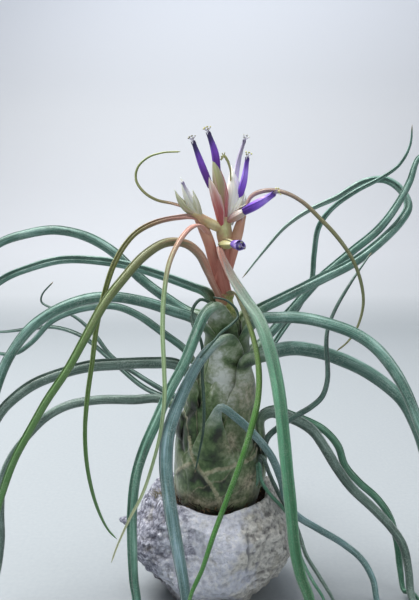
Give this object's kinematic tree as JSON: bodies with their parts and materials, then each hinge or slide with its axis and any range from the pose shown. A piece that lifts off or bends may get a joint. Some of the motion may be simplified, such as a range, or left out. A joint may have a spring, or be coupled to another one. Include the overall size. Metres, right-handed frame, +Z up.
{
  "type": "air plant",
  "caption": "Bulb-forming air plant in flower: long curling tapered leaves and tubular violet flowers on a sheathed bulb, seated in the hollow of a stone.",
  "frame": {"origin": "centre of the stone's flat foot, on the surface it rests on", "axes": "+Z up along the plant, -Y towards the side the plant is seen from, +X to that viewer's right"},
  "size_m": [0.2998, 0.2358, 0.2563],
  "materials": {
    "stone_grit": "matte",
    "root_brown": "matte",
    "bulb_green": "satin",
    "leaf_green": "satin",
    "bract_green": "satin",
    "bract_olive": "satin",
    "stalk_pink": "satin",
    "spike_pink": "satin",
    "petal_violet": "satin",
    "petal_faded": "matte",
    "stamen_yellow": "matte"
  },
  "bodies": {
    "root": {"stone": "stone_grit", "root_fibres": "root_brown", "bulb": "bulb_green", "flower_stalk": "stalk_pink", "leaf_left_1": "leaf_green", "leaf_left_2": "leaf_green", "leaf_left_3": "leaf_green", "leaf_left_4": "leaf_green", "leaf_left_5": "leaf_green", "leaf_left_6": "leaf_green", "leaf_left_7": "leaf_green", "leaf_left_8": "leaf_green", "leaf_front_1": "leaf_green", "leaf_front_2": "leaf_green", "leaf_front_3": "leaf_green", "leaf_front_thread_1": "leaf_green", "leaf_front_thread_2": "leaf_green", "leaf_front_thread_3": "leaf_green", "leaf_right_1": "leaf_green", "leaf_right_2": "leaf_green", "leaf_right_3": "leaf_green", "leaf_right_4": "leaf_green", "leaf_right_5": "leaf_green", "leaf_right_6": "leaf_green", "leaf_right_7": "leaf_green", "leaf_right_8": "leaf_green", "leaf_back_1": "leaf_green", "leaf_back_2": "leaf_green", "leaf_back_3": "leaf_green", "leaf_back_4": "leaf_green", "bract_olive_long": "bract_olive", "bract_left_thin": "bract_green", "bract_pale_thin": "bract_green", "bract_right_broad": "bract_green", "bract_left_curled": "bract_green", "bract_right_thin": "bract_green", "bract_green_front": "bract_green", "spike_left": "spike_pink", "spike_centre": "spike_pink", "spike_right_pale": "spike_pink", "spike_right_low": "spike_pink", "spike_front_bud": "spike_pink", "petals_left_bud": "petal_faded", "petals_centre_left": "petal_violet", "stamens_centre_left": "stamen_yellow", "petals_centre_right": "petal_violet", "stamens_centre_right": "stamen_yellow", "petals_right_faded": "petal_faded", "stamens_right_faded": "stamen_yellow", "petals_right_upper": "petal_violet", "stamens_right_upper": "stamen_yellow", "petals_right_low": "petal_violet", "stamens_right_low": "stamen_yellow", "petals_front": "petal_violet", "stamens_front": "stamen_yellow"}
  },
  "joints": []
}
